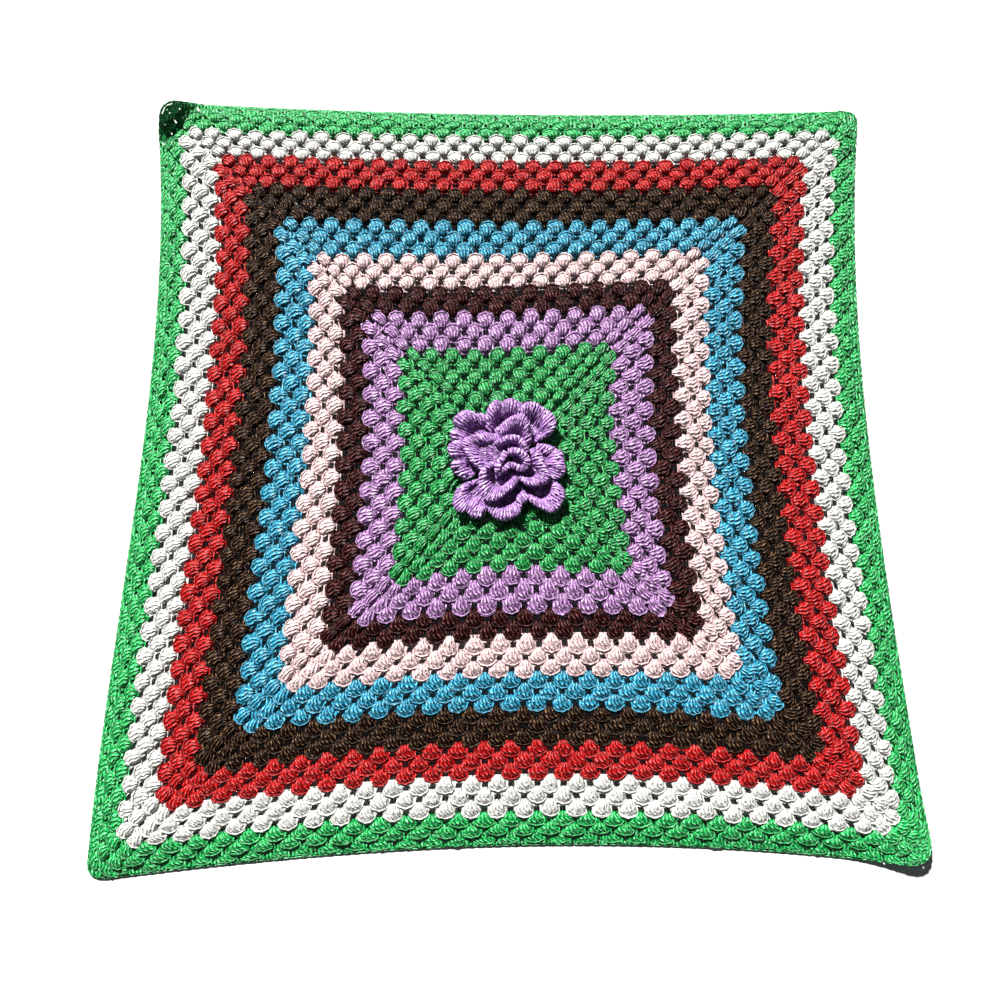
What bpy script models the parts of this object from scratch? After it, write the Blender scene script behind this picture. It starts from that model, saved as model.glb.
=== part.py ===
"""Crochet baby blanket: a granny square worked in rounds, with a crochet rose at its middle.

The blanket lies flat on z = 0, its rounds are ridges, and its larger gaps go right through. One corner of
the border curls up and the opposite one lifts a little. The rose is three nested rings of petals on top.
Lengths in the tables are in millimetres, from the middle of the rose; x runs right and y runs away.
"""

import math

import bmesh
import bpy
from mathutils import Vector

MM = 0.001
SIDES = 4

# Cloth thickness in the groove between two rounds, along a round, and at the outer edge
GROOVE = 3.8
RIDGE = 5.2
EDGE = 3.4
LAST_ROUND = 33
# Makes each term of a side's cubic bow 1 at its own third of the side
THIRDS_FACTOR = 13.5
# Creases sharper than these stay sharp, in degrees
CLOTH_CREASE = 60
PETAL_CREASE = 50

# Gaps between clusters: every one in the open rounds past the rose, the corner ones in the bands
FIRST_OPEN_ROUND = 5
LAST_OPEN_ROUND = 10
GAP_WIDTH = 6.6
CORNER_GAP_WIDTH = 6.0
GAP_START = 0.20
GAP_END = 0.75

# Where each band's last round has its corners: the cloth is as uneven as handwork is
CORNERS = [
    # round, far left, far right, near right, near left
    (0, (0, 0), (0, 0), (0, 0), (0, 0)),
    (10, (-113, 113), (108, 120), (123, -115), (-120, -128)),
    (13, (-149, 152), (146, 158), (162, -155), (-158, -166)),
    (15, (-174, 179), (168, 186), (192, -175), (-185, -190)),
    (18, (-205, 213), (203, 218), (227, -216), (-225, -228)),
    (21, (-241, 251), (243, 252), (266, -256), (-266, -268)),
    (24, (-274, 287), (276, 287), (304, -295), (-303, -307)),
    (27, (-306, 319), (309, 318), (342, -328), (-339, -340)),
    (30, (-344, 349), (341, 346), (374, -365), (-374, -375)),
    (33, (-370, 380), (365, 370), (402, -393), (-404, -405)),
]

# How far each side is drawn in, at one third and at two thirds of it, going clockwise
BOWS = [
    # round, far side, right side, near side, left side
    (0, (0, 0), (0, 0), (0, 0), (0, 0)),
    (10, (4, 3), (10, 9), (10, 12), (7, 6)),
    (16, (4, 3), (7, 9), (4, 5), (5, 7)),
    (24, (5, 6), (22, 18), (21, 21), (7, 13)),
    (33, (8, 8), (22, 16), (25, 23), (10, 20)),
]

# How far from each outer corner its rounding starts: far left, far right, near right, near left
ROUNDINGS = (20, 14, 30, 18)

# Corners that stand up from the surface
LIFTS = [
    # corner, flap from the corner to the fold, radius of the bend, steepest angle in degrees
    (0, 44, 20, 72),
    (2, 70, 150, 26),
]
# The band's inner corner, which with the outer one gives the direction that a flap points in
FLAP_ROUND = 27

# Places along a side where the relief has points: millimetres from each corner, then shares of the side
PLAIN_STATIONS = ((CORNER_GAP_WIDTH / 2,), (0.2, 0.4, 0.6, 0.8))
CORNER_STATIONS = ((CORNER_GAP_WIDTH / 2, 9, 20, 36, 62), (0.25, 0.5, 0.75))
FIRST_FINE_ROUND = 31

YARNS = {
    "green": "20A455",
    "lavender": "B58FD0",
    "maroon": "431518",
    "pink": "EBD3D4",
    "blue": "3F9FC8",
    "brown": "3D281A",
    "red": "BE2328",
    "white": "F1F0EC",
}
BANDS = [
    # last round, yarn
    (10, "green"),
    (13, "lavender"),
    (15, "maroon"),
    (18, "pink"),
    (21, "blue"),
    (24, "brown"),
    (27, "red"),
    (30, "white"),
    (33, "green"),
]
ROSE_YARN = "lavender"

# Rose: each ring's underside at the middle, yarn thickness, extra height at the middle, and how far out
# and how high the valley between two petals is
ROSE_RINGS = [
    # name, underside, thickness, crown, valley distance, valley height
    ("rose_outer", 5.6, 3.0, 0.0, 36, 7.5),
    ("rose_inner", 9.0, 3.0, 0.0, 22, 12.5),
    ("rose_heart", 12.4, 3.2, 4.6, 13, 16.5),
]
PETALS = {
    "rose_outer": [
        # direction in degrees, how far out the tip is, height of its rim
        (-136, 62, 12.5),
        (-92, 60, 13.5),
        (-44, 63, 11.0),
        (-2, 56, 12.0),
        (50, 59, 14.0),
        (98, 59, 13.0),
        (136, 61, 12.0),
        (179, 59, 13.0),
    ],
    "rose_inner": [
        (-114, 42, 20.0),
        (-20, 42, 18.5),
        (82, 38, 20.5),
        (158, 41, 18.5),
    ],
    "rose_heart": [
        (-60, 18, 20.0),
        (50, 19, 22.0),
        (170, 17, 21.0),
    ],
}
# Places across a petal (0 at its tip line, 1 where it meets the next) and out along it
ACROSS_PETAL = (-0.85, -0.5, 0.0, 0.5, 0.85)
OUT_PETAL = (0.3, 0.6, 0.84, 1.0)


def clear_scene():
    for thing in list(bpy.data.objects):
        bpy.data.objects.remove(thing, do_unlink=True)


def linear_colour(code):
    """A hex colour as linear red, green, blue and alpha."""
    channels = []
    for start in (0, 2, 4):
        value = int(code[start:start + 2], 16) / 255
        channels.append(value / 12.92 if value <= 0.04045 else ((value + 0.055) / 1.055) ** 2.4)
    return (*channels, 1.0)


def yarn(name):
    """The matt yarn of a colour, made once."""
    found = bpy.data.materials.get(name + "_yarn")
    if found:
        return found
    material = bpy.data.materials.new(name + "_yarn")
    material.use_nodes = True
    material.diffuse_color = linear_colour(YARNS[name])
    shader = material.node_tree.nodes["Principled BSDF"]
    shader.inputs["Base Color"].default_value = linear_colour(YARNS[name])
    shader.inputs["Roughness"].default_value = 0.9
    shader.inputs["Metallic"].default_value = 0.0
    return material


def read_table(rows, round_no, column):
    """A pair from a table, in proportion between the two rows around a round."""
    for low, high in zip(rows, rows[1:]):
        if round_no <= high[0]:
            break
    share = (round_no - low[0]) / (high[0] - low[0])
    return Vector(low[column]).lerp(Vector(high[column]), share)


def corner(round_no, which):
    return read_table(CORNERS, round_no, 1 + which % SIDES)


def side_length(round_no, side):
    return (corner(round_no, side + 1) - corner(round_no, side)).length


def side_point(round_no, side, share):
    """A point on one side of a round, bowed inwards by a cubic through its two measured depths."""
    start = corner(round_no, side)
    along = corner(round_no, side + 1) - start
    first, second = read_table(BOWS, round_no, 1 + side % SIDES)
    bow = THIRDS_FACTOR * share * (1 - share) * ((2 / 3 - share) * first + (share - 1 / 3) * second)
    inward = Vector((along.y, -along.x)).normalized()
    return start + along * share + inward * bow


def place(round_no, turn):
    """The point of a round at a turn: 0 is the far left corner, 1 the far right one, and so on clockwise."""
    side = int(turn) % SIDES
    share = turn - int(turn)
    length = side_length(round_no, side)
    for which, distance in ((side, share * length), (side + 1, (share - 1) * length)):
        reach = ROUNDINGS[which % SIDES] * round_no / LAST_ROUND
        if abs(distance) < reach:
            before = side_point(round_no, which - 1, 1 - reach / side_length(round_no, which - 1))
            after = side_point(round_no, which, reach / side_length(round_no, which))
            peak = corner(round_no, which)
            step = 0.5 + 0.5 * distance / reach
            return before.lerp(peak, step).lerp(peak.lerp(after, step), step)
    return side_point(round_no, side, share)


def side_turns(round_no, stations):
    """The turns of the relief's points round a band."""
    near, shares = stations
    turns = []
    for side in range(SIDES):
        length = side_length(round_no, side)
        turns += [side + distance / length for distance in near]
        turns += [side + share for share in shares]
        turns += [side + 1 - distance / length for distance in reversed(near)]
    return turns


def gap_turns(round_no):
    """The turns of both ends of every gap of an open round: even steps are yarn, odd steps are gaps."""
    turns = []
    for side in range(SIDES):
        half = GAP_WIDTH / 2 / side_length(round_no, side)
        for cluster in range(round_no):
            turns += [side + cluster / round_no + half, side + (cluster + 1) / round_no - half]
    return turns


def lifted(point):
    """A point of the flat cloth, bent up round a fold if it is on a corner that lifts."""
    for which, flap, radius, steepest in LIFTS:
        tip = corner(LAST_ROUND, which)
        outward = (tip - corner(FLAP_ROUND, which)).normalized()
        past = (Vector(point[:2]) - tip).dot(outward) + flap
        if past <= 0:
            continue
        angle = min(past / radius, math.radians(steepest))
        straight = past - radius * angle
        reach = radius * math.sin(angle) + straight * math.cos(angle) - point[2] * math.sin(angle)
        height = radius * (1 - math.cos(angle)) + straight * math.sin(angle) + point[2] * math.cos(angle)
        moved = Vector(point[:2]) + outward * (reach - past)
        return (moved.x, moved.y, height)
    return point


class Cloth:
    """The blanket's mesh as it grows, ring by ring, from the middle out."""

    def __init__(self):
        self.mesh = bmesh.new()

    def vertex(self, point, height):
        x, y, z = lifted((point.x, point.y, height))
        return self.mesh.verts.new((x * MM, y * MM, z * MM))

    def ring(self, round_no, turns, height):
        points = [place(round_no, turn) for turn in turns]
        return {
            "turns": turns,
            "top": [self.vertex(point, height) for point in points],
            "under": [self.vertex(point, 0) for point in points],
        }

    def face(self, vertices, band):
        self.mesh.faces.new(vertices).material_index = band

    def middle(self, ring, height, band):
        """Closes the cloth inside its first ring."""
        for level, z in (("top", height), ("under", 0)):
            hub = self.vertex(Vector((0, 0)), z)
            around = ring[level]
            for one, two in zip(around, around[1:] + around[:1]):
                self.face((hub, one, two), band)

    def strip(self, inner, outer, band, gap_every=0):
        """Quads between two rings with the same turns; one quad in gap_every is a gap right through."""
        count = len(inner["turns"])
        for here in range(count):
            after = (here + 1) % count
            if gap_every and here % gap_every == gap_every - 1:
                loop = [(inner, here), (inner, after), (outer, after), (outer, here)]
                for one, two in zip(loop, loop[1:] + loop[:1]):
                    first = (one[0]["top"][one[1]], two[0]["top"][two[1]])
                    second = (two[0]["under"][two[1]], one[0]["under"][one[1]])
                    self.face(first + second, band)
                continue
            for level in ("top", "under"):
                pair_in = (inner[level][here], inner[level][after])
                pair_out = (outer[level][after], outer[level][here])
                self.face(pair_in + pair_out, band)

    def join(self, inner, outer, band):
        """Triangles between two rings whose turns differ, always stepping the ring that lags."""
        counts = len(inner["turns"]), len(outer["turns"])
        steps = [0, 0]
        while steps[0] < counts[0] or steps[1] < counts[1]:
            ahead = []
            for ring, step, count in zip((inner, outer), steps, counts):
                ahead.append(ring["turns"][(step + 1) % count] + SIDES * ((step + 1) // count))
            mover = 0 if steps[1] == counts[1] or (ahead[0] <= ahead[1] and steps[0] < counts[0]) else 1
            moving = (inner, outer)[mover]
            for level in ("top", "under"):
                self.face((
                    inner[level][steps[0] % counts[0]],
                    outer[level][steps[1] % counts[1]],
                    moving[level][(steps[mover] + 1) % counts[mover]],
                ), band)
            steps[mover] += 1

    def rim(self, ring, band):
        """The outer edge's wall."""
        count = len(ring["turns"])
        for here in range(count):
            after = (here + 1) % count
            along_top = (ring["top"][here], ring["top"][after])
            self.face(along_top + (ring["under"][after], ring["under"][here]), band)


def band_of(round_no):
    return next(index for index, row in enumerate(BANDS) if round_no <= row[0])


def add_object(name, mesh_data, yarns, middle):
    thing = bpy.data.objects.new(name, mesh_data)
    bpy.context.scene.collection.objects.link(thing)
    for material in yarns:
        mesh_data.materials.append(material)
    thing.parent = middle
    return thing


def finished_mesh(name, growing, smooth_angle):
    bmesh.ops.recalc_face_normals(growing, faces=growing.faces)
    mesh_data = bpy.data.meshes.new(name)
    growing.to_mesh(mesh_data)
    growing.free()
    mesh_data.shade_smooth()
    mesh_data.set_sharp_from_angle(angle=math.radians(smooth_angle))
    return mesh_data


def add_blanket(middle):
    cloth = Cloth()
    previous = None
    for round_no in range(FIRST_OPEN_ROUND, LAST_ROUND + 1):
        band = band_of(round_no)
        if round_no <= LAST_OPEN_ROUND:
            turns = gap_turns(round_no)
            gap_every = 2
        else:
            stations = CORNER_STATIONS if round_no >= FIRST_FINE_ROUND else PLAIN_STATIONS
            turns = side_turns(round_no, stations)
            gap_every = len(turns) // SIDES
        inner = cloth.ring(round_no - 1 + GAP_START, turns, GROOVE)
        outer = cloth.ring(round_no - 1 + GAP_END, turns, RIDGE)
        if previous is None:
            cloth.middle(inner, RIDGE, band)
        elif len(previous["turns"]) == len(turns):
            cloth.strip(previous, inner, band)
        else:
            cloth.join(previous, inner, band)
        cloth.strip(inner, outer, band, gap_every)
        previous = outer
    edge = cloth.ring(LAST_ROUND, previous["turns"], EDGE)
    cloth.strip(previous, edge, band)
    cloth.rim(edge, band)
    yarns = [yarn(name) for _, name in BANDS]
    return add_object("blanket", finished_mesh("blanket", cloth.mesh, CLOTH_CREASE), yarns, middle)


def petal_stations(petals, valley_out, valley_height):
    """Round a ring of petals: direction, how far out and how high its rim is there."""
    stations = []
    for index, (direction, tip_out, tip_height) in enumerate(petals):
        before = petals[index - 1][0] - (360 if index == 0 else 0)
        after = petals[(index + 1) % len(petals)][0] + (360 if index == len(petals) - 1 else 0)
        stations.append(((direction + before) / 2, valley_out, valley_height))
        for across in ACROSS_PETAL:
            half = (after - direction if across > 0 else direction - before) / 2
            fullness = math.sqrt(1 - across ** 2)
            stations.append((
                direction + across * half,
                valley_out + (tip_out - valley_out) * fullness,
                valley_height + (tip_height - valley_height) * fullness,
            ))
    return stations


def add_rose_ring(name, underside, thickness, crown, valley_out, valley_height, middle):
    """A ring of petals as one dished sheet: flat where it is sewn down, rising to its rims."""
    growing = bmesh.new()
    levels = []
    stations = petal_stations(PETALS[name], valley_out, valley_height)
    for lift, bulge in ((0, 0), (thickness, crown)):
        hub = growing.verts.new((0, 0, (underside + lift + bulge) * MM))
        rings = []
        for out in OUT_PETAL:
            ring = []
            for direction, reach, rim_height in stations:
                angle = math.radians(direction)
                height = underside + (rim_height - underside) * out ** 2 + lift + bulge * (1 - out ** 2)
                x = reach * out * math.cos(angle)
                y = reach * out * math.sin(angle)
                ring.append(growing.verts.new((x * MM, y * MM, height * MM)))
            rings.append(ring)
        for one, two in zip(rings[0], rings[0][1:] + rings[0][:1]):
            growing.faces.new((hub, one, two))
        for inner, outer in zip(rings, rings[1:]):
            for here in range(len(inner)):
                after = (here + 1) % len(inner)
                growing.faces.new((inner[here], inner[after], outer[after], outer[here]))
        levels.append(rings[-1])
    under, top = levels
    for here in range(len(under)):
        after = (here + 1) % len(under)
        growing.faces.new((under[here], under[after], top[after], top[here]))
    return add_object(name, finished_mesh(name, growing, PETAL_CREASE), [yarn(ROSE_YARN)], middle)


def centre_on_origin(middle, blanket):
    """Moves everything so that the blanket's box is centred over the origin."""
    corners = [vertex.co for vertex in blanket.data.vertices]
    for axis in range(2):
        low = min(co[axis] for co in corners)
        high = max(co[axis] for co in corners)
        middle.location[axis] = -(low + high) / 2


def main():
    clear_scene()
    middle = bpy.data.objects.new("rose_middle", None)
    bpy.context.scene.collection.objects.link(middle)
    blanket = add_blanket(middle)
    for ring in ROSE_RINGS:
        add_rose_ring(*ring, middle)
    centre_on_origin(middle, blanket)


main()
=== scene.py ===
"""Crochet baby blanket with a crochet rose: its stitches and yarns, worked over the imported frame.

Lengths in the tables are in millimetres from the middle of the rose; x runs right and y runs away.
Levels are counted in rounds from the middle, and turns go clockwise from the far left corner, one a side.
"""

import math

import bpy
import numpy as np
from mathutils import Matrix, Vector


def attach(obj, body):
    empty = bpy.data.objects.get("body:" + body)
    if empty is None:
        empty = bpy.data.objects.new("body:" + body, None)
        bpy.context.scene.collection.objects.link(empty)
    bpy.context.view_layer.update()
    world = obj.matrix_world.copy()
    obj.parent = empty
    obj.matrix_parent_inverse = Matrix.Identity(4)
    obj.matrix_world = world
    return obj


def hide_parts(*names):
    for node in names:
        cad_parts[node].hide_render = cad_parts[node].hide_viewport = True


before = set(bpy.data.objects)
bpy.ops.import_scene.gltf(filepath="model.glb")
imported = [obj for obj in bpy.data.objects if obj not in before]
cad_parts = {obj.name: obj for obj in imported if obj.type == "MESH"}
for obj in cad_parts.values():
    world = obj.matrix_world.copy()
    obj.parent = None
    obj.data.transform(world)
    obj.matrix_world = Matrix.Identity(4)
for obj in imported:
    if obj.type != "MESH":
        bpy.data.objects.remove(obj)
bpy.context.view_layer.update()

MM = 0.001
SIDES = 4
LAST_ROUND = 33
# Where the middle of the rose lies in the frame
MIDDLE = np.array([2.44, 12.982])

# Where each band's last round has its corners, as in the frame
CORNERS = [
    # round, far left, far right, near right, near left
    (0, (0, 0), (0, 0), (0, 0), (0, 0)),
    (10, (-113, 113), (108, 120), (123, -115), (-120, -128)),
    (13, (-149, 152), (146, 158), (162, -155), (-158, -166)),
    (15, (-174, 179), (168, 186), (192, -175), (-185, -190)),
    (18, (-205, 213), (203, 218), (227, -216), (-225, -228)),
    (21, (-241, 251), (243, 252), (266, -256), (-266, -268)),
    (24, (-274, 287), (276, 287), (304, -295), (-303, -307)),
    (27, (-306, 319), (309, 318), (342, -328), (-339, -340)),
    (30, (-344, 349), (341, 346), (374, -365), (-374, -375)),
    (33, (-370, 380), (365, 370), (402, -393), (-404, -405)),
]

# How far each side is drawn in, at one third and at two thirds of it, going clockwise
BOWS = [
    # round, far side, right side, near side, left side
    (0, (0, 0), (0, 0), (0, 0), (0, 0)),
    (10, (4, 3), (10, 9), (10, 12), (7, 6)),
    (16, (4, 3), (7, 9), (4, 5), (5, 7)),
    (24, (5, 6), (22, 18), (21, 21), (7, 13)),
    (33, (8, 8), (22, 16), (25, 23), (10, 20)),
]
# Brings the cubic through both depths to each of them at its third of the side
THIRDS_FACTOR = 13.5

# How far from each outer corner its rounding starts: far left, far right, near right, near left
ROUNDINGS = np.array([20, 14, 30, 18])

# Corners that stand up from the surface, each bent along the line from its corner of FLAP_ROUND
FLAP_ROUND = 27
LIFTS = [
    # corner, flap from the corner to the fold, radius of the bend, steepest angle in degrees
    (0, 44, 20, 72),
    (2, 70, 150, 26),
]

YARNS = {
    # yarn: colour of the dyed acrylic, colour of its painted highlights, brightness of the painted shade
    # between strands, strength of the painted highlights, gloss
    "green": ("08BA52", "B8F0CC", 0.20, 0.64, 0.45),
    "lavender": ("CC92D8", "FAE8FC", 0.24, 0.66, 0.45),
    "maroon": ("3A0204", "B87C7A", 0.08, 0.50, 0.14),
    "pink": ("F4D2D3", "FFF4F4", 0.52, 0.50, 0.40),
    "blue": ("28B4DE", "BEEEFA", 0.20, 0.66, 0.45),
    "brown": ("2A1002", "BC9670", 0.06, 0.52, 0.14),
    "red": ("D40A10", "F8A8A6", 0.28, 0.38, 0.22),
    "white": ("DADAD5", "FAFAF6", 0.68, 0.46, 0.35),
    # The border is worked in the green yarn, more tightly. This copy of it holds painted light: a brighter
    # dye colour, lighter painted shade between the strands and stronger painted highlights
    "border_green_painted_light": ("0ACE60", "BEF2D0", 0.30, 0.68, 0.45),
    # The rose is worked in the lavender yarn, more loosely. This copy's dye colour, painted highlights and
    # painted shade are set apart from the band's, for pale lit rims and violet shaded hollows
    "rose_lavender_painted_light": ("C68CE0", "FCE4FC", 0.42, 0.70, 0.45),
}
BANDS = [
    # first round, last round, yarn, piece
    (1, 10, "green", "centre_stitches"),
    (11, 13, "lavender", "lavender_stitches"),
    (14, 15, "maroon", "maroon_stitches"),
    (16, 18, "pink", "pink_stitches"),
    (19, 21, "blue", "blue_stitches"),
    (22, 24, "brown", "brown_stitches"),
    (25, 27, "red", "red_stitches"),
    (28, 30, "white", "white_stitches"),
    (31, 33, "border_green_painted_light", "border_stitches"),
]


# Where things lie on the cloth


def read_off(table, at):
    """Values from a table of pairs, in proportion between its rows."""
    return np.interp(at, *zip(*table))


def table_at(rows, column, rounds):
    """Pairs from a table, in proportion between its rows."""
    levels = [row[0] for row in rows]
    pairs = [[row[column][axis] for row in rows] for axis in (0, 1)]
    return np.stack([np.interp(rounds, levels, values) for values in pairs], -1)


def pick(options, which):
    """One of four arrays for each point."""
    which = np.broadcast_to(which, options[0].shape[:-1])[..., None]
    return np.select([which == number for number in range(SIDES)], options)


def corner(rounds, which):
    return pick([table_at(CORNERS, 1 + number, rounds) for number in range(SIDES)], np.mod(which, SIDES))


def side_length(rounds, side):
    return np.linalg.norm(corner(rounds, side + 1) - corner(rounds, side), axis=-1)


def side_point(rounds, side, share):
    """Points on the sides of rounds, bowed inwards by a cubic through the two measured depths."""
    start = corner(rounds, side)
    along = corner(rounds, side + 1) - start
    depths = pick([table_at(BOWS, 1 + number, rounds) for number in range(SIDES)], np.mod(side, SIDES))
    bow = THIRDS_FACTOR * share * (1 - share)
    bow = bow * ((2 / 3 - share) * depths[..., 0] + (share - 1 / 3) * depths[..., 1])
    inward = unit(np.stack([along[..., 1], -along[..., 0]], -1))
    return start + along * share[..., None] + inward * bow[..., None]


def between(one, two, share):
    return one + (two - one) * share[..., None]


def place(rounds, turns):
    """Points of the flat cloth, with the corners of every round rounded off."""
    rounds, turns = np.broadcast_arrays(np.asarray(rounds, float), np.mod(turns, SIDES))
    side = np.floor(turns).astype(int) % SIDES
    share = turns - side
    length = side_length(rounds, side)
    found = side_point(rounds, side, share)
    for which, distance in ((side, share * length), ((side + 1) % SIDES, (share - 1) * length)):
        reach = ROUNDINGS[which] * rounds / LAST_ROUND
        before = side_point(rounds, which - 1, 1 - reach / side_length(rounds, which - 1))
        after = side_point(rounds, which, reach / side_length(rounds, which))
        peak = corner(rounds, which)
        step = 0.5 + 0.5 * distance / reach
        bend = between(between(before, peak, step), between(peak, after, step), step)
        found = np.where((np.abs(distance) < reach)[..., None], bend, found)
    return found


def lifted(points):
    """The points of the flat cloth, bent up round a fold where a corner lifts."""
    points = points.copy()
    for which, flap, radius, steepest in LIFTS:
        tip = corner(LAST_ROUND, which)
        outward = unit(tip - corner(FLAP_ROUND, which))
        past = (points[:, :2] - tip) @ outward + flap
        angle = np.clip(past / radius, 0, math.radians(steepest))
        straight = np.maximum(past, 0) - radius * angle
        height = points[:, 2]
        reach = radius * np.sin(angle) + straight * np.cos(angle) - height * np.sin(angle)
        raised = radius * (1 - np.cos(angle)) + straight * np.sin(angle) + height * np.cos(angle)
        on_flap = past > 0
        points[on_flap, :2] += outward * (reach - past)[on_flap, None]
        points[on_flap, 2] = raised[on_flap]
    return points


def to_frame(points):
    """Millimetres from the rose's middle, as metres in the frame."""
    moved = np.array(points, float)
    moved[:, :2] += MIDDLE
    return moved * MM


# Strands and meshes

UP = np.array([0.0, 0.0, 1.0])


def unit(vectors):
    """Vectors of length one; the bound keeps those of no length at zero."""
    return vectors / np.maximum(np.linalg.norm(vectors, axis=-1, keepdims=True), 1e-9)


def tube_quads(rings, sides):
    """Quads between the rings of points round a strand."""
    ring = np.arange(sides)
    after = (ring + 1) % sides
    return np.concatenate([
        np.stack([step * sides + ring, (step + 1) * sides + ring,
                  (step + 1) * sides + after, step * sides + after], 1)
        for step in range(rings - 1)
    ])


def strand(path, half_widths, sides, groove=0.0, turns=0.0, phase=0.0):
    """Points, quads and yarn lengths of a strand that follows a path, with two plies turning round it."""
    along = unit(np.gradient(path, axis=0))
    tall = unit(UP - along * (along @ UP)[:, None])
    wide = np.cross(tall, along)
    around = 2 * math.pi * np.arange(sides) / sides - math.pi / 2
    turned = phase + 2 * math.pi * turns * np.linspace(0, 1, len(path))
    size = 1 - groove * np.sin(around[None] - turned[:, None]) ** 2
    size = size * half_widths[:, None]
    raised = (np.cos(around) * size)[..., None] * tall[:, None]
    spread = (np.sin(around) * size)[..., None] * wide[:, None]
    points = (path[:, None] + raised + spread).reshape(-1, 3)
    run = np.concatenate([[0], np.cumsum(np.linalg.norm(np.diff(path, axis=0), axis=1))])
    winding = np.stack([np.tile(np.arange(sides) / sides, len(path)), np.repeat(run, sides) / 10], 1)
    return points, tube_quads(len(path), sides), winding


def together(parts):
    """Several strands as one set of points, quads and yarn lengths."""
    points, quads, winding, count = [], [], [], 0
    for part in parts:
        points.append(part[0])
        quads.append(part[1] + count)
        winding.append(part[2])
        count += len(part[0])
    return np.concatenate(points), np.concatenate(quads), np.concatenate(winding)


def add_mesh(name, points, faces, winding, materials, face_materials=None):
    """A smooth mesh, whose UV map gives steps across the strands and centimetres along them."""
    mesh = bpy.data.meshes.new(name)
    size = faces.shape[1]
    mesh.vertices.add(len(points))
    mesh.vertices.foreach_set("co", np.asarray(points, np.float32).ravel())
    mesh.loops.add(faces.size)
    mesh.loops.foreach_set("vertex_index", np.asarray(faces, np.int32).ravel())
    mesh.polygons.add(len(faces))
    mesh.polygons.foreach_set("loop_start", np.arange(0, faces.size, size, dtype=np.int32))
    mesh.polygons.foreach_set("loop_total", np.full(len(faces), size, dtype=np.int32))
    for material in materials:
        mesh.materials.append(material)
    if face_materials is not None:
        mesh.polygons.foreach_set("material_index", np.asarray(face_materials, np.int32))
    layer = mesh.uv_layers.new(name="winding")
    layer.data.foreach_set("uv", np.asarray(winding[faces.ravel()], np.float32).ravel())
    mesh.update(calc_edges=True)
    mesh.shade_smooth()
    thing = bpy.data.objects.new(name, mesh)
    bpy.context.scene.collection.objects.link(thing)
    return thing


# Materials


def linear_colour(code):
    """An sRGB hex colour as linear red, green, blue and alpha."""
    channels = []
    for start in (0, 2, 4):
        value = int(code[start:start + 2], 16) / 255
        channels.append(value / 12.92 if value <= 0.04045 else ((value + 0.055) / 1.055) ** 2.4)
    return (*channels, 1.0)


def darker(code, share):
    return "".join(f"{round(int(code[start:start + 2], 16) * share):02X}" for start in (0, 2, 4))


def add_node(tree, kind, settings=None, values=None, links=None):
    """Adds a node with its settings, its unlinked values and its links."""
    node = tree.nodes.new(kind)
    for name, value in (settings or {}).items():
        setattr(node, name, value)
    for name, value in (values or {}).items():
        node.inputs[name].default_value = value
    for name, source in (links or {}).items():
        tree.links.new(source, node.inputs[name])
    return node


def new_material(name):
    material = bpy.data.materials.new(name)
    material.use_nodes = True
    material.node_tree.nodes.clear()
    return material, material.node_tree


# Millimetres across the strands in each step of the yarn's map
MAP_STEP = 14.28
# The yarn is about 3 mm thick in life, drawn 4.2 mm wide so that its strands show
STRAND_WIDTH = 4.2
STRANDS = MAP_STEP / STRAND_WIDTH
# How far the strands stray, in their own widths
WANDER = 0.85
# Plies cross a strand aslant every 7 mm, and the dye takes a little unevenly over 25 mm
PLY_STEP = 7.0
DYE_STEP = 25.0
# Plies and loose fibres are about 0.5 mm in life, drawn nearly 4 mm so that they show
FIBRE_STEP = 3.846
# How deep the plies' ridges and the loose fibres look, in millimetres
PLY_DEPTH = 1.8
FIBRE_DEPTH = 0.5
# Brightness where the dye takes least, and of the brightest painted highlight flecks
UNEVEN_DYE = 0.86
PAINTED_FLECK_BRIGHT = 1.10


def per_metre(step):
    """The scale of a noise texture whose pattern repeats about every so many millimetres."""
    return 1 / (step * MM)


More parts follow.
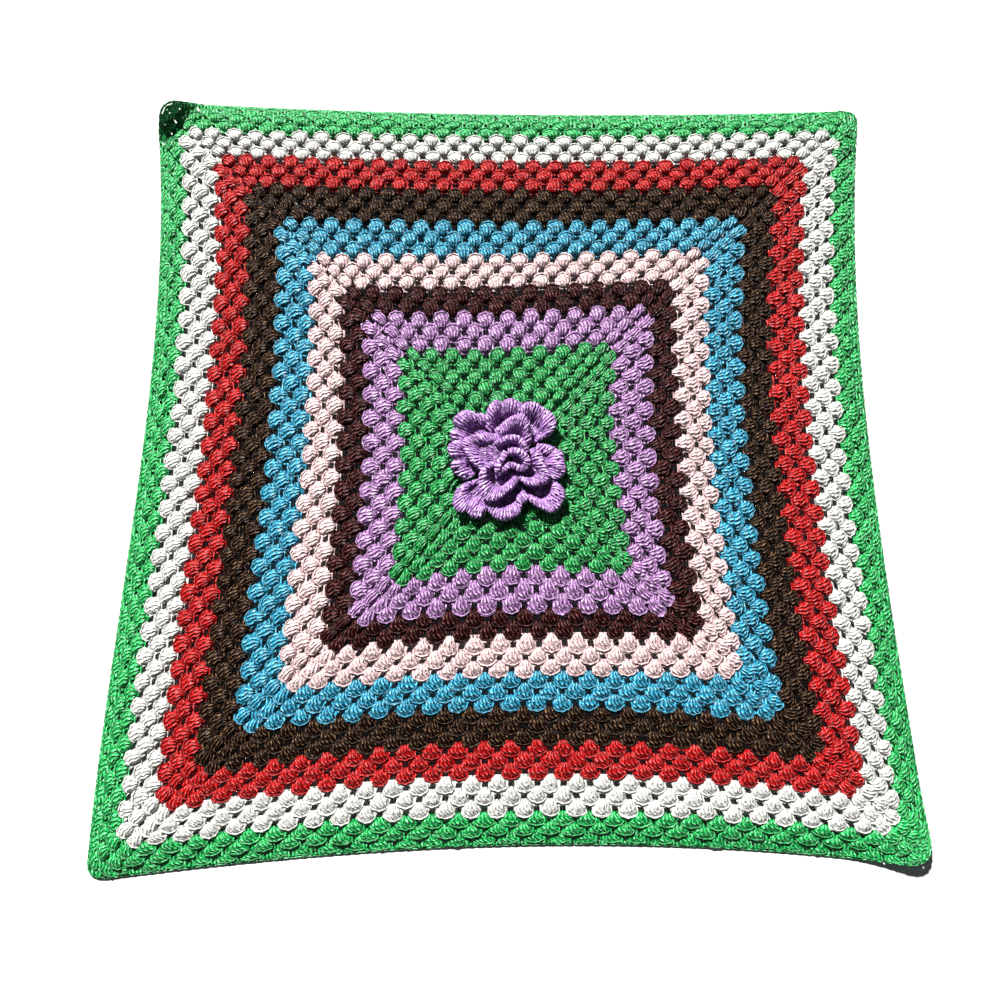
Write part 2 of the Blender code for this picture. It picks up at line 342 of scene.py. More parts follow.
def acrylic_yarn(name, code, painted_highlight_code, painted_valley_brightness, painted_highlight_strength, gloss):
    """Dyed acrylic yarn, spun in plies and worked tightly: matt, with a slight sheen on every ply, painted
    shade between the strands and painted highlights on their crests.
    """
    material, tree = new_material(name)
    winding = add_node(tree, "ShaderNodeUVMap", {"uv_map": "winding"})
    spot = add_node(tree, "ShaderNodeTexCoord")
    fibres = add_node(tree, "ShaderNodeTexNoise", None,
                      {"Scale": per_metre(FIBRE_STEP), "Detail": 1.0, "Roughness": 0.4},
                      {"Vector": spot.outputs["Object"]})

    def round_ridges(run):
        """Round ridges, one for each step of the run, which don't lie quite straight."""
        along = add_node(tree, "ShaderNodeVectorMath", {"operation": "DOT_PRODUCT"},
                         {1: run}, {0: winding.outputs["UV"]})
        wander = add_node(tree, "ShaderNodeMath", {"operation": "MULTIPLY_ADD"}, {1: WANDER},
                          {0: fibres.outputs["Fac"], 2: along.outputs["Value"]})
        half_wave = add_node(tree, "ShaderNodeMath", {"operation": "MULTIPLY"},
                             {1: math.pi}, {0: wander.outputs[0]})
        wave = add_node(tree, "ShaderNodeMath", {"operation": "SINE"}, links={0: half_wave.outputs[0]})
        return add_node(tree, "ShaderNodeMath", {"operation": "MULTIPLY"},
                        links={0: wave.outputs[0], 1: wave.outputs[0]})

    # Strands lie side by side, and plies cross each of them aslant
    strands = round_ridges((STRANDS, 0, 0))
    plies = round_ridges((STRANDS, 10 / PLY_STEP, 0))
    knobs = add_node(tree, "ShaderNodeMapRange", None, {"To Min": 0.4, "To Max": 1.0},
                     {"Value": plies.outputs[0]})
    ridges = add_node(tree, "ShaderNodeMath", {"operation": "MULTIPLY"},
                      links={0: strands.outputs[0], 1: knobs.outputs["Result"]})
    fleck = add_node(tree, "ShaderNodeMapRange", None, {"From Min": 0.32, "From Max": 0.68},
                     {"Value": fibres.outputs["Fac"]})
    dye = add_node(tree, "ShaderNodeTexNoise", None, {"Scale": per_metre(DYE_STEP), "Detail": 2.0},
                   {"Vector": spot.outputs["Object"]})
    shade = add_node(tree, "ShaderNodeMix", {"data_type": "RGBA"},
                     {"A": linear_colour(darker(code, UNEVEN_DYE)), "B": linear_colour(code)},
                     {"Factor": dye.outputs["Fac"]})
    # Painted shade: the colour is darkened between the strands, where little light falls
    painted_valley_shade = add_node(tree, "ShaderNodeMapRange", None,
                      {"From Max": 0.5, "To Min": painted_valley_brightness, "To Max": 1.05},
                      {"Value": ridges.outputs[0]})
    # Painted flecks: the colour is lighter and darker in random spots, standing in for highlights and
    # shade on the plies
    painted_flecks = add_node(tree, "ShaderNodeMapRange", None,
                    {"To Min": 0.5 + painted_valley_brightness / 2, "To Max": PAINTED_FLECK_BRIGHT},
                    {"Value": fleck.outputs["Result"]})
    # The painted shade and the painted flecks, as one factor on the dye colour
    depth = add_node(tree, "ShaderNodeMath", {"operation": "MULTIPLY"},
                     links={0: painted_valley_shade.outputs["Result"], 1: painted_flecks.outputs["Result"]})
    colour = add_node(tree, "ShaderNodeVectorMath", {"operation": "SCALE"},
                      links={0: shade.outputs["Result"], "Scale": depth.outputs[0]})
    # Painted highlight: the crests are mixed towards a paler colour, where the loose fibres catch the
    # light
    crest = add_node(tree, "ShaderNodeMapRange", None,
                     {"From Min": 0.4, "From Max": 0.85, "To Max": painted_highlight_strength},
                     {"Value": ridges.outputs[0]})
    painted_highlight_mask = add_node(tree, "ShaderNodeMath", {"operation": "MULTIPLY"},
                    links={0: crest.outputs["Result"], 1: fleck.outputs["Result"]})
    painted_highlight_colour = add_node(tree, "ShaderNodeMix", {"data_type": "RGBA"}, {"B": linear_colour(painted_highlight_code)},
                     {"Factor": painted_highlight_mask.outputs[0], "A": colour.outputs["Vector"]})
    # Yarns with lighter painted shade between their strands have lower ridges
    ply_bump = add_node(tree, "ShaderNodeBump", None,
                        {"Strength": 1.15 - 0.7 * painted_valley_brightness, "Distance": PLY_DEPTH * MM},
                        {"Height": ridges.outputs[0]})
    bump = add_node(tree, "ShaderNodeBump", None, {"Strength": 1.0, "Distance": FIBRE_DEPTH * MM},
                    {"Height": fleck.outputs["Result"], "Normal": ply_bump.outputs["Normal"]})
    shader = add_node(tree, "ShaderNodeBsdfPrincipled", None,
                      {"Roughness": 0.42, "IOR": 1.49, "Specular IOR Level": gloss,
                       "Sheen Weight": 0.1 * gloss},
                      {"Base Color": painted_highlight_colour.outputs["Result"], "Normal": bump.outputs["Normal"]})
    add_node(tree, "ShaderNodeOutputMaterial", links={"Surface": shader.outputs["BSDF"]})
    return material


# The faint mottling that a roller leaves in paint, in millimetres
MOTTLE_STEP = 166.7


def painted_floor():
    """Matt white paint, rolled on a smooth board: pale and even, with a faint mottling."""
    material, tree = new_material("matt_white_paint")
    spot = add_node(tree, "ShaderNodeTexCoord")
    mottle = add_node(tree, "ShaderNodeTexNoise", None, {"Scale": per_metre(MOTTLE_STEP), "Detail": 3.0},
                      {"Vector": spot.outputs["Object"]})
    shade = add_node(tree, "ShaderNodeMix", {"data_type": "RGBA"},
                     {"A": linear_colour("DADADA"), "B": linear_colour("DEDEDE")},
                     {"Factor": mottle.outputs["Fac"]})
    shader = add_node(tree, "ShaderNodeBsdfPrincipled", None, {"Roughness": 0.9},
                      {"Base Color": shade.outputs["Result"]})
    add_node(tree, "ShaderNodeOutputMaterial", links={"Surface": shader.outputs["BSDF"]})
    return material


yarns = {name: acrylic_yarn(name + "_acrylic_yarn", *look) for name, look in YARNS.items()}


# Stitches

# The pattern cluster of three trebles, for a repeat of 24 mm and a length of 19 mm
REPEAT = 24.0
CLUSTER_LENGTH = 19.0
SHELL = [
    # along the cluster, half width, height of its crest
    (0.7, 2.4, 1.4),
    (1.0, 4.1, 3.6),
    (2.6, 5.3, 5.0),
    (5.6, 6.6, 5.6),
    (9.2, 7.6, 5.6),
    (12.2, 8.3, 5.0),
    (14.6, 8.4, 4.2),
    (16.6, 7.6, 3.4),
    (18.6, 6.2, 1.2),
]
SHELL_COLUMNS = 15
# Height of its sides, and the power that makes it fuller than round
SHELL_FOOT = 0.6
SHELL_FULL = 0.7
# The grooves between the trebles: place and half width in half widths, depth, and the crest they need
GROOVE_PLACE, GROOVE_WIDTH, GROOVE_DEPTH, GROOVE_CREST = 0.36, 0.13, 0.7, 3.0
# The outer trebles of a cluster are shorter at its base and at its top
OUTER_SHORTER = (1.3, 2.6)
# The chain round the outer end of a cluster: along x, along the cluster, height, half width
CHAIN = [
    (-8.1, 10.6, 1.2, 0.8), (-8.2, 13.6, 1.9, 1.3), (-6.0, 16.4, 2.5, 1.55), (-3.2, 17.2, 2.4, 1.35),
    (0.0, 18.3, 2.7, 1.6),
    (3.2, 17.2, 2.4, 1.35), (6.0, 16.4, 2.5, 1.55), (8.2, 13.6, 1.9, 1.3), (8.1, 10.6, 1.2, 0.8),
]
CHAIN_SIDES = 5
# Half the map's steps across a cluster's 16 mm, and how its strands turn over each other further up
CLUSTER_MAP = 0.56
CLUSTER_TURN = 0.00125

# How much handwork varies: patterns in a band, lean in degrees, shift in millimetres, size as a share
VARIANTS = 8
LEAN = 3.0
SHIFT = 0.45
SIZE_SPREAD = 0.045
# How far single points stray, in millimetres
SHELL_STRAY, CHAIN_STRAY, PETAL_STRAY = 0.12, 0.15, 0.2

# Levels of a cluster's two ends, in rounds past its own round and before the round inside it
TOP_PAST = 0.18
BASE_BEFORE = 0.32
FIRST_BASE = 0.25
# How near to a corner the last cluster of a side has its base and its top, in repeats
CORNER_BASE = 0.28
CORNER_TOP = 0.62
CORNER_WIDTH = 0.88
# How much longer than the others a corner cluster may be, and how much of the rest it loses at its base
CORNER_LONGEST = 1.04
CORNER_BASE_LOSS = 0.7
# How far a cluster's width keeps to its own axis, and the step that finds the way its round runs
UPRIGHT = 0.6
RUN_STEP = 0.2
# The least share of a side between a place and a corner
CLEAR = 0.001
# The border's rounds are worked tighter
BORDER_LEVELS = {31: (29.72, 31.12), 32: (30.78, 32.05), 33: (31.66, 32.93)}
# How high the springy cloth lies over the floor: level and millimetres
LAY = [(0, 0.5), (3.5, 0.5), (6, 4.4), (29.6, 4.4), (31.6, 2.4), (32.6, 0.4), (33, 0.0)]
# How full the clusters are: the border's last round is worked flat
FULLNESS = [(30, 1.0), (31.5, 0.95), (32.3, 0.55)]
# How wide the clusters are: the middle is open, and the border is worked tight
WIDTHS = [(1, 0.90), (10, 0.90), (11, 0.97), (30, 0.97), (31, 1.06)]


def cluster(chance):
    """Three trebles merged into one full shell, and the chain round its outer end."""
    place_along, half_width, crest = np.array(SHELL).T[..., None]
    angle = np.radians(np.linspace(-90, 90, SHELL_COLUMNS))
    across = np.sin(angle)
    at_base, at_top = (shorter * across ** 2 for shorter in OUTER_SHORTER)
    groove = GROOVE_DEPTH * np.exp(-((np.abs(across) - GROOVE_PLACE) / GROOVE_WIDTH) ** 2)
    groove = groove * np.clip(crest - GROOVE_CREST, 0, 1)
    along = at_base + place_along * (CLUSTER_LENGTH - at_base - at_top) / CLUSTER_LENGTH
    height = SHELL_FOOT + (crest - SHELL_FOOT) * np.cos(angle) ** SHELL_FULL - groove
    points = np.stack([half_width * across, along, height], 2)
    points += chance.normal(0, SHELL_STRAY, points.shape)
    rows, columns = height.shape
    number = np.arange(rows * columns).reshape(rows, columns)
    quads = np.stack([number[:-1, :-1], number[:-1, 1:], number[1:, 1:], number[1:, :-1]], -1)
    quads = quads.reshape(-1, 4)
    # About four strands run straight at the base, and turn over each other further up
    winding = np.stack([CLUSTER_MAP * across + CLUSTER_TURN * along ** 2, along / 10], 2)
    chain = np.array(CHAIN)
    path = chain[:, :3] + chance.normal(0, CHAIN_STRAY, (len(chain), 3))
    edge = strand(path, chain[:, 3], CHAIN_SIDES)
    return together([(points.reshape(-1, 3), quads, winding.reshape(-1, 2)), edge])


def levels_of(round_no):
    if round_no in BORDER_LEVELS:
        return BORDER_LEVELS[round_no]
    return max(round_no - 1 - BASE_BEFORE, FIRST_BASE), round_no + TOP_PAST


def cluster_places(round_no):
    """Where a round's clusters stand: base, top, and a vector across them as long as one repeat."""
    base, top = levels_of(round_no)
    steps = np.arange(round_no) - (round_no - 1) / 2
    sides = np.repeat(np.arange(SIDES), round_no)
    steps = np.tile(steps, SIDES)

    def at(level, corner_space):
        most = max(level / 2 - corner_space, 0.0)
        share = np.clip(0.5 + np.clip(steps, -most, most) / level, CLEAR, 1 - CLEAR)
        return place(level, sides + share)

    middle = (base + top) / 2
    bases, tops = at(base, CORNER_BASE), at(top, CORNER_TOP)
    # A corner cluster reaches further, but is no longer than the others
    height = place(top, sides + 0.5) - place(base, sides + 0.5)
    longest = CORNER_LONGEST * np.linalg.norm(height, axis=1, keepdims=True)
    reach = tops - bases
    shorter = np.minimum(1, longest / np.linalg.norm(reach, axis=1, keepdims=True))
    spare = reach * (1 - shorter)
    bases = bases + CORNER_BASE_LOSS * spare
    tops = tops - (1 - CORNER_BASE_LOSS) * spare
    step = RUN_STEP / middle
    share = np.clip(0.5 + steps / middle, step + CLEAR, 1 - step - CLEAR)
    tangent = unit(place(middle, sides + share + step) - place(middle, sides + share - step))
    outward = unit(tops - bases)
    upright = np.stack([outward[:, 1], -outward[:, 0]], 1)
    upright *= np.sign((upright * tangent).sum(1, keepdims=True))
    repeat = side_length(np.full(len(sides), middle), sides) / middle
    wide = np.where(np.abs(steps) > round_no / 2 - 1, CORNER_WIDTH, 1) * read_off(WIDTHS, round_no)
    spread = unit(tangent + UPRIGHT * upright) * (repeat * wide)[:, None]
    lie = np.tile([read_off(LAY, middle), read_off(FULLNESS, middle)], (len(sides), 1))
    return bases, tops, spread, lie


def add_stitches(first, last, yarn, piece, chance):
    """All the clusters of one band, each a little different, as handwork is."""
    made = [cluster(chance) for _ in range(VARIANTS)]
    quads, winding = made[0][1], made[0][2]
    placed = [cluster_places(round_no) for round_no in range(first, last + 1)]
    bases, tops, across, lie = (np.concatenate(group) for group in zip(*placed))
    count = len(bases)
    lean = chance.normal(0, math.radians(LEAN), count)
    shift = chance.normal(0, SHIFT, (count, 2))
    fuller = chance.normal(1, SIZE_SPREAD, (count, 3))
    cosine, sine = np.cos(lean), np.sin(lean)

    def leaning(arms):
        right, away = arms.T
        return np.stack([right * cosine - away * sine, right * sine + away * cosine], 1)[:, None]

    points = np.array([variant[0] for variant in made])[chance.integers(0, VARIANTS, count)]
    x = points[..., 0] / REPEAT
    y = points[..., 1] / CLUSTER_LENGTH
    middles = (bases + tops) / 2 + shift
    flat = middles[:, None] + leaning(tops - bases) * ((y - 0.5) * fuller[:, 1:2])[..., None]
    flat = flat + leaning(across) * (x * fuller[:, :1])[..., None]
    height = lie[:, :1] + points[..., 2] * fuller[:, 2:] * lie[:, 1:]
    every = np.concatenate([flat, height[..., None]], 2).reshape(-1, 3)
    faces = (quads[None] + (np.arange(count) * len(winding))[:, None, None]).reshape(-1, 4)
    lengths = np.tile(winding, (count, 1)) + np.repeat(chance.random((count, 2)), len(winding), 0)
    thing = add_mesh(piece, to_frame(lifted(every)), faces, lengths, [yarns[yarn]])
    return thing


# The backs of the stitches: one thin holed cloth under the clusters
BACK_HEIGHT = 2.3
# Levels where the holes of a round begin and end, and about how far inside their round they lie
HOLE_LEVELS = (0.24, 0.64)
HOLES_INSIDE = 0.55
# Width of the holes: round and millimetres
HOLE_WIDTHS = [(2, 7.2), (10, 7.2), (11, 6.2), (30, 6.2), (31, 3.4), (33, 2.4)]
# Where the cloth ends under the edge chain, and millimetres of it in a step of its map
BACK_EDGE = LAST_ROUND - 0.12
BACK_MAP = 12.0


def add_stitch_backs():
    """The cloth that holds the clusters, one hole between each two of them."""
    points, faces, bands = [], [], []

    def ring(level, turns):
        start = len(points)
        for spot in place(level, np.array(turns)):
            points.append((spot[0], spot[1], BACK_HEIGHT + read_off(LAY, level)))
        return {"turns": turns, "start": start}

    previous = None
    for round_no in range(2, LAST_ROUND + 1):
        band = next(index for index, row in enumerate(BANDS) if round_no <= row[1])
        inner_level, outer_level = (round_no - 1 + share for share in HOLE_LEVELS)
        repeats = round_no - HOLES_INSIDE
        shares = [0.0] + [0.5 + (gap - round_no / 2) / repeats for gap in range(1, round_no)]
        turns = []
        for side in range(SIDES):
            half = read_off(HOLE_WIDTHS, round_no) / 2 / side_length(round_no, side)
            for share in shares:
                turns += [side + share - half, side + share + half]
        turns = turns[1:] + [turns[0] + SIDES]
        inner, outer = ring(inner_level, turns), ring(outer_level, turns)
        if previous is None:
            hub = len(points)
            points.append((0, 0, BACK_HEIGHT))
            for here in range(len(turns)):
                after = (here + 1) % len(turns)
                faces.append((hub, inner["start"] + after, inner["start"] + here, inner["start"] + here))
                bands.append(band)
        else:
            join_rings(previous, inner, faces, bands, band)
        for here in range(0, len(turns), 2):
            after = here + 1
            faces.append((inner["start"] + here, outer["start"] + here, outer["start"] + after,
                          inner["start"] + after))
            bands.append(band)
        previous = outer
    edge = ring(BACK_EDGE, previous["turns"])
    join_rings(previous, edge, faces, bands, len(BANDS) - 1)
    triangles = np.array([face[:3] for face in faces] + [(face[0], face[2], face[3]) for face in faces])
    bands = np.array(bands + bands)
    full = (triangles[:, 0] != triangles[:, 1]) & (triangles[:, 1] != triangles[:, 2])
    full &= triangles[:, 0] != triangles[:, 2]
    winding = np.array(points)[:, :2] / BACK_MAP
    every = to_frame(lifted(np.array(points, float)))
    materials = [yarns[row[2]] for row in BANDS]
    thing = add_mesh("stitch_backs", every, triangles[full], winding, materials, bands[full])
    return thing


def join_rings(inner, outer, faces, bands, band):
    """Triangles between two rings whose turns differ, always stepping the ring that lags."""
    counts = len(inner["turns"]), len(outer["turns"])
    steps = [0, 0]
    while steps[0] < counts[0] or steps[1] < counts[1]:
        ahead = []
        for ring, step, count in zip((inner, outer), steps, counts):
            ahead.append(ring["turns"][(step + 1) % count] + SIDES * ((step + 1) // count))
        mover = 0 if steps[1] == counts[1] or (ahead[0] <= ahead[1] and steps[0] < counts[0]) else 1
        moving = (inner, outer)[mover]
        one = inner["start"] + steps[0] % counts[0]
        two = outer["start"] + steps[1] % counts[1]
        three = moving["start"] + (steps[mover] + 1) % counts[mover]
        faces.append((one, two, three, three))
        bands.append(band)
        steps[mover] += 1


# The chain along the outer edge: its rings of points, their points, and the turns of its plies
EDGE_RINGS = 1001
EDGE_SIDES = 6
EDGE_TURNS = 190
# Its level, the height of its middle, its half width, how flat it lies and how deep its grooves are
EDGE_LEVEL = LAST_ROUND - 0.04
EDGE_HEIGHT = 1.5
EDGE_HALF_WIDTH = 1.7
EDGE_FLATNESS = 0.6
EDGE_GROOVE = 0.38
# Centimetres of yarn from one ring to the next
EDGE_RUN = 0.31


def add_edge_chain():
    """The chain along the blanket's outer edge, as one twisted strand."""
    way = np.linspace(0, 1, EDGE_RINGS)
    path = np.concatenate([place(EDGE_LEVEL, SIDES * way), np.full((EDGE_RINGS, 1), EDGE_HEIGHT)], 1)
    # Ends meet where it starts, so the ring closes
    path[-1] = path[0]
    along = unit(np.gradient(path, axis=0))
    along[0] = along[-1] = unit(path[1] - path[-2])
    out = np.cross(along, UP)
    around = 2 * math.pi * np.arange(EDGE_SIDES) / EDGE_SIDES
    turned = 2 * math.pi * EDGE_TURNS * way
    size = EDGE_HALF_WIDTH * (1 - EDGE_GROOVE * np.sin(around[None] - turned[:, None]) ** 2)
    points = path[:, None] + (np.cos(around) * size)[..., None] * out[:, None]
    points = points + (np.sin(around) * size * EDGE_FLATNESS)[..., None] * UP
    # Turned over, because these rings run the other way round
    faces = tube_quads(EDGE_RINGS, EDGE_SIDES)[:, [0, 3, 2, 1]]
    run = np.repeat(np.arange(EDGE_RINGS) * EDGE_RUN, EDGE_SIDES)
    winding = np.stack([np.tile(np.arange(EDGE_SIDES) / EDGE_SIDES, EDGE_RINGS), run], 1)
    every = to_frame(lifted(points.reshape(-1, 3)))
    thing = add_mesh("edge_chain", every, faces, winding, [yarns["border_green_painted_light"]])
    return thing


# The rose

# Rims of the petals, from above: x, y and height of points along each rim, then where the petal grows from
OUTER_PETALS = [
    # rim points (x, y, height), root (x, y, height)
    ([(12, 44, 11), (10, 53, 15), (2, 57, 17), (-5, 56, 16), (-9, 53, 13), (-13, 56, 16), (-19, 51, 17),
      (-22, 42, 15), (-23, 32, 11)], (-3, 9, 8)),
    ([(12, 42, 11), (13, 51, 15), (19, 54, 17), (26, 53, 16), (32, 49, 13), (39, 44, 16), (43, 37, 17),
      (43, 30, 16), (38, 24, 13), (31, 22, 12), (25, 17, 9)], (7, 9, 8)),
    ([(28, 14, 9), (37, 12, 12), (45, 8, 13), (50, 4, 15), (51, -5, 16), (53, -11, 16), (50, -17, 13),
      (44, -19, 12), (37, -15, 9)], (8, -2, 8)),
    ([(41, -22, 9), (48, -28, 13), (52, -35, 16), (50, -43, 16), (45, -50, 15), (38, -53, 15),
      (30, -49, 16), (24, -45, 15), (21, -41, 11)], (8, -11, 8)),
    ([(15, -33, 9), (16, -40, 13), (10, -46, 16), (9, -53, 15), (2, -58, 15), (-7, -60, 16),
      (-15, -57, 15), (-21, -50, 15), (-25, -43, 11)], (0, -12, 8)),
    ([(-24, -45, 9), (-28, -56, 13), (-35, -58, 15), (-42, -52, 15), (-50, -52, 16), (-54, -44, 16),
      (-52, -34, 15), (-46, -28, 12), (-38, -26, 9)], (-8, -9, 8)),
    ([(-44, -20, 9), (-54, -13, 13), (-56, -6, 15), (-53, -2, 12), (-58, 4, 16), (-59, 11, 17),
      (-54, 15, 16), (-46, 15, 13), (-41, 11, 9)], (-8, -1, 8)),
    ([(-56, 17, 9), (-57, 25, 13), (-53, 30, 12), (-54, 37, 16), (-49, 43, 17), (-42, 46, 16),
      (-35, 43, 13), (-29, 43, 15), (-25, 41, 13), (-23, 35, 9)], (-8, 8, 8)),
]
INNER_PETALS = [
    ([(19, 14, 13), (19, 25, 18), (17, 35, 21), (12, 40, 22), (5, 40, 21), (-2, 36, 20), (-8, 31, 18),
      (-14, 27, 15)], (1, 0, 12)),
    ([(-14, 22, 16), (-23, 23, 18), (-32, 21, 20), (-41, 19, 20), (-45, 14, 20), (-42, 5, 20),
      (-37, -3, 20), (-30, -10, 18), (-24, -9, 15)], (0, 0, 16)),
    ([(-12, -8, 16), (-20, -8, 21), (-27, -14, 24), (-29, -25, 22), (-26, -36, 21), (-21, -42, 21),
      (-13, -41, 21), (-5, -35, 20), (3, -28, 20), (6, -22, 17), (4, -17, 15)], (1, -3, 12)),
    ([(22, 8, 16), (28, 4, 20), (32, -6, 21), (37, -16, 20), (35, -23, 20), (27, -27, 20), (17, -26, 20),
      (8, -18, 16)], (2, -2, 12)),
]
HEART_CURLS = [
    ([(-13, 14, 19), (-7, 17, 22), (1, 19, 24), (9, 17, 24), (14, 11, 23), (16, 5, 21)], (2, 6, 14)),
    ([(-1, 6, 20), (6, 6, 23), (13, 2, 24), (17, -4, 24), (16, -9, 23), (11, -12, 22), (3, -9, 22),
      (-3, -9, 22), (-8, -14, 21), (-12, -17, 18)], (5, -4, 14)),
    ([(-4, 5, 21), (-8, -2, 23), (-12, -9, 23), (-12, -14, 21), (-9, -13, 20)], (-6, -6, 14)),
]
STITCH_WIDTH = 4.2
PETAL_ROWS = 4
# Points along a petal's rim, and from its root to its rim
RIM_POINTS, FAN_POINTS = 110, 22
# How a petal rises from its root to its rim: shares of its length and of its height
PETAL_RISE = [
    (0, 0), (0.3, -0.05), (0.6, 0.0), (0.68, 0.25), (0.77, 0.72), (0.85, 1.0), (0.93, 1.08), (1.0, 0.96),
]
# Half its thickness before the rim, and the shares of its length where the rim starts and that it takes
FAN_HALF = 1.25
RIM_START, RIM_RUN = 0.66, 0.2
# Height of the rib of each treble on the fan and on the rim, and of the step between two rows
FAN_RIB, RIM_RIB, ROW_STEP = 0.26, 0.24, 0.25
# Round the rim, in degrees from the upper face, and how far its middle lies past the fan's end
RIM_ANGLES = (60, 105, 150)
RIM_PAST = 0.4
# Steps of the yarn's map for each treble across, and centimetres for the way out and back under
TREBLE_MAP = 0.42
FAN_RUN = 5.0


def smooth_line(points, count):
    """A smooth line through points, as many places along it as asked for."""
    points = np.array(points, float)
    padded = np.concatenate([[2 * points[0] - points[1]], points, [2 * points[-1] - points[-2]]])
    at = np.linspace(0, len(points) - 1, count)
    whole = np.minimum(at.astype(int), len(points) - 2)
    share = (at - whole)[:, None]
    p0, p1, p2, p3 = (padded[whole + step] for step in range(4))
    return 0.5 * (2 * p1 + (p2 - p0) * share + (2 * p0 - 5 * p1 + 4 * p2 - p3) * share ** 2
                  + (3 * p1 - p0 - 3 * p2 + p3) * share ** 3)


def petal(rim, root, root_share, rim_half, chance):
    """One petal: a fan of trebles from its root to a thick ruffled rim, cupped as it rises."""
    rim = smooth_line(rim, RIM_POINTS)
    root = np.array(root, float)
    inner = root + (rim - root) * root_share
    inner[:, 2] = root[2]
    length = float(np.linalg.norm(np.diff(rim, axis=0), axis=1).sum())
    stitches = max(4, round(length / STITCH_WIDTH))
    across = np.linspace(0, 1, RIM_POINTS)
    rib = np.cos(2 * math.pi * stitches * across)
    out = np.linspace(0, 1, FAN_POINTS)
    plan = inner[:, None, :2] + (rim - inner)[:, None, :2] * out[None, :, None]
    rise = inner[:, None, 2] + (rim - inner)[:, None, 2] * read_off(PETAL_RISE, out)[None]
    middle = np.concatenate([plan, rise[..., None]], 2)
    along_rim = unit(np.gradient(middle, axis=0))
    along_out = unit(np.gradient(middle, axis=1))
    facing = unit(np.cross(along_rim, along_out))
    flip = np.sign(facing[..., 2].mean())
    facing *= flip
    # Half thickness: thin at the root, full at the rim, with a rib for each treble and a step for each row
    half = FAN_HALF + (rim_half - FAN_HALF) * np.clip((out - RIM_START) / RIM_RUN, 0, 1)
    # Ribs and steps come up over the first third
    relief = np.clip(out * 3, 0, 1)[None]
    half = half[None] + FAN_RIB * rib[:, None] * relief
    half = half + ROW_STEP * np.cos(2 * math.pi * PETAL_ROWS * out)[None] * relief
    bead = rim_half + RIM_RIB * rib
    top = middle + facing * half[..., None]
    under = middle - facing * half[..., None]
    rounded = []
    for angle in np.radians(RIM_ANGLES):
        turn = math.cos(angle) * facing[:, -1] + math.sin(angle) * along_out[:, -1]
        rounded.append(middle[:, -1] + along_out[:, -1] * RIM_PAST + turn * bead[:, None])
    grid = np.concatenate([top, np.stack(rounded, 1), under[:, ::-1]], 1)
    rows, columns = grid.shape[:2]
    number = np.arange(rows * columns).reshape(rows, columns)
    after = np.roll(number, -1, axis=1)
    faces = np.stack([number[:-1], number[1:], after[1:], after[:-1]], -1).reshape(-1, 4)
    if flip > 0:
        faces = faces[:, ::-1]
    winding = np.stack(np.broadcast_arrays((across * stitches * TREBLE_MAP)[:, None],
                                           np.linspace(0, FAN_RUN, columns)), -1).reshape(-1, 2)
    loose = chance.normal(0, PETAL_STRAY, (rows * columns, 3))
    return grid.reshape(-1, 3) + loose, faces, winding


def add_tier(name, petals, root_share, rim_half, chance):
    """One ring of the rose, whose petals start at a share of the way from root to rim."""
    points, faces, winding = together([petal(*row, root_share, rim_half, chance) for row in petals])
    thing = add_mesh(name, to_frame(points), faces, winding, [yarns["rose_lavender_painted_light"]])
    return thing


# Chain loops of the round that the petals are worked on, which show between them
CHAIN_LOOPS = [
    # points (x, y, height) along each loop
    [(8, 40, 7), (9, 52, 8.5), (13, 58, 8.5), (20, 60, 7), (26, 58, 6)],
    [(30, 18, 7), (42, 21, 8), (50, 25, 8), (56, 20, 7), (58, 12, 6)],
    [(42, -14, 7), (50, -19, 8), (57, -25, 8), (59, -34, 6.5)],
    [(8, -44, 7), (16, -46, 8.5), (19, -54, 8), (22, -64, 6.5)],
    [(-38, -16, 7), (-50, -20, 8.5), (-57, -26, 8), (-60, -35, 6.5)],
    [(-40, 16, 7), (-54, 20, 8.5), (-62, 19, 8), (-65, 11, 6.5)],
    [(-22, 40, 7), (-26, 50, 8.5), (-23, 56, 8), (-16, 58, 6.5)],
]
LOOP_POINTS = 30
LOOP_SIDES = 8
LOOP_HALF_WIDTHS = np.full(LOOP_POINTS, 1.45)
LOOP_GROOVE = 0.4
LOOP_TURNS = 3.0


def add_chain_loops():
    """The loops, each twisted from a place of its own."""
    points, faces, winding = together([
        strand(smooth_line(loop, LOOP_POINTS), LOOP_HALF_WIDTHS, LOOP_SIDES, LOOP_GROOVE, LOOP_TURNS,
               phase=number)
        for number, loop in enumerate(CHAIN_LOOPS)
    ])
    thing = add_mesh("chain_loops", to_frame(points), faces, winding, [yarns["green"]])
    return thing


# Dressing the frame

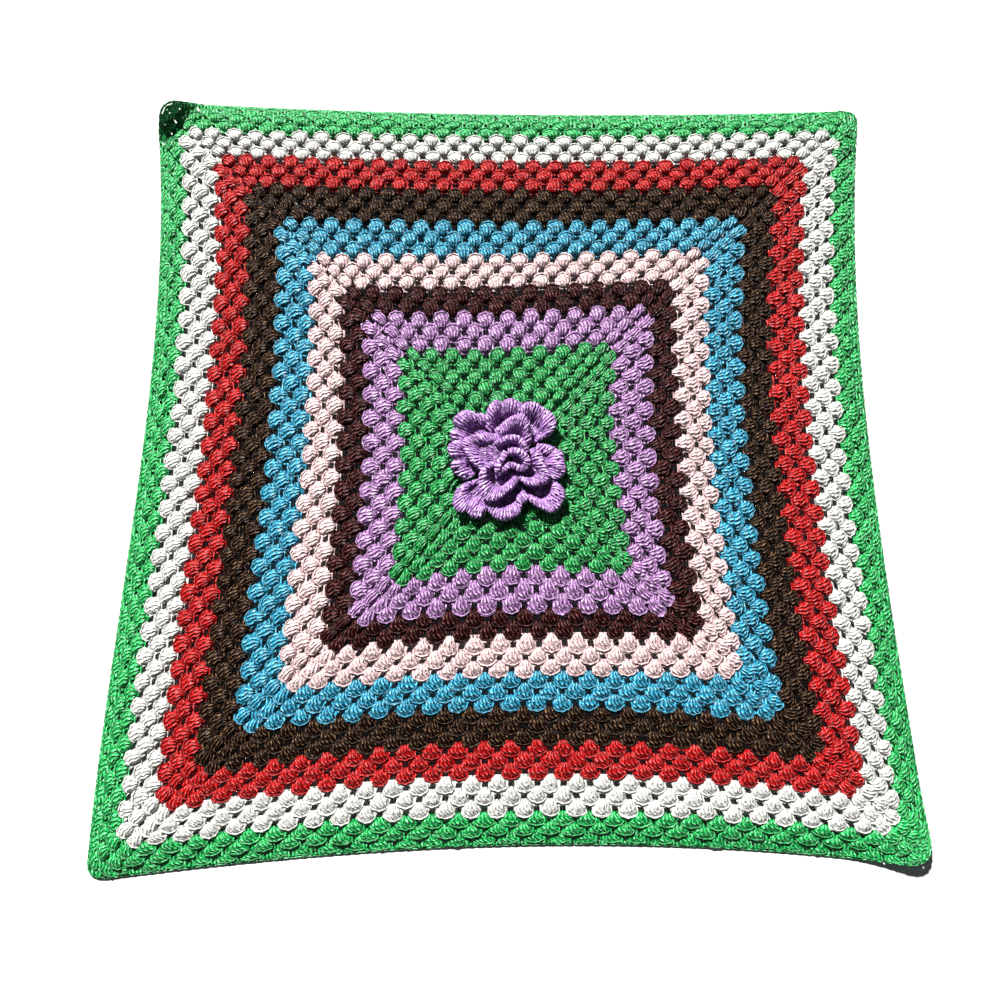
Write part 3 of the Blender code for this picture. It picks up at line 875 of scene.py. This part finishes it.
chance = np.random.default_rng(33)
bands = [add_stitches(*row, chance) for row in BANDS]
backs = add_stitch_backs()
edge_chain = add_edge_chain()
loops = add_chain_loops()
outer = add_tier("rose_outer_petals", OUTER_PETALS, root_share=0.06, rim_half=2.4, chance=chance)
inner = add_tier("rose_inner_petals", INNER_PETALS, root_share=0.04, rim_half=2.4, chance=chance)
heart = add_tier("rose_heart_curls", HEART_CURLS, root_share=0.20, rim_half=3.2, chance=chance)

for piece in (*bands, backs, edge_chain, loops, outer, inner, heart):
    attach(piece, "root")
for piece in (backs, *bands):
    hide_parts("blanket")
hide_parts("rose_outer")
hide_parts("rose_inner")
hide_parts("rose_heart")


# Floor, light and camera

# Half the floor's width, in metres
FLOOR_HALF = 6.0
# The way the key shines, and the colours of key and world, already linear
KEY_WAY = Vector((0.30, -0.74, -0.62))
KEY_COLOUR = (1.0, 0.985, 0.96)
SKY_COLOUR = (0.86, 0.93, 1.0, 1.0)
# The camera leans back this far from straight above, and stands here from the rose's middle
TILT = math.radians(6.5)
CAMERA_PLACE = (-10.0, -141.9, 894.2)


def add_floor():
    mesh = bpy.data.meshes.new("floor")
    corners = [(x * FLOOR_HALF, y * FLOOR_HALF, 0) for x, y in ((-1, -1), (1, -1), (1, 1), (-1, 1))]
    mesh.from_pydata(corners, [], [(0, 1, 2, 3)])
    mesh.materials.append(painted_floor())
    floor = bpy.data.objects.new("floor", mesh)
    bpy.context.scene.collection.objects.link(floor)
    return floor


floor = add_floor()

# The key comes low from the far side and a little from the left, as in the photo
key = bpy.data.lights.new("key", "SUN")
key.energy = 10.0
key.angle = math.radians(4)
key.color = KEY_COLOUR
key_lamp = bpy.data.objects.new("key", key)
key_lamp.rotation_mode = "QUATERNION"
key_lamp.rotation_quaternion = KEY_WAY.to_track_quat("-Z", "Y")
bpy.context.scene.collection.objects.link(key_lamp)

world = bpy.data.worlds.new("studio")
world.use_nodes = True
sky = world.node_tree.nodes["Background"]
sky.inputs["Color"].default_value = SKY_COLOUR
sky.inputs["Strength"].default_value = 0.07
bpy.context.scene.world = world
bpy.context.scene.view_settings.view_transform = "Standard"

camera_data = bpy.data.cameras.new("camera")
camera_data.lens = 32.4
camera_data.sensor_width = 36.0
camera = bpy.data.objects.new("camera", camera_data)
camera.location = to_frame([CAMERA_PLACE])[0]
camera.rotation_euler = (TILT, 0, 0)
bpy.context.scene.collection.objects.link(camera)
bpy.context.scene.camera = camera
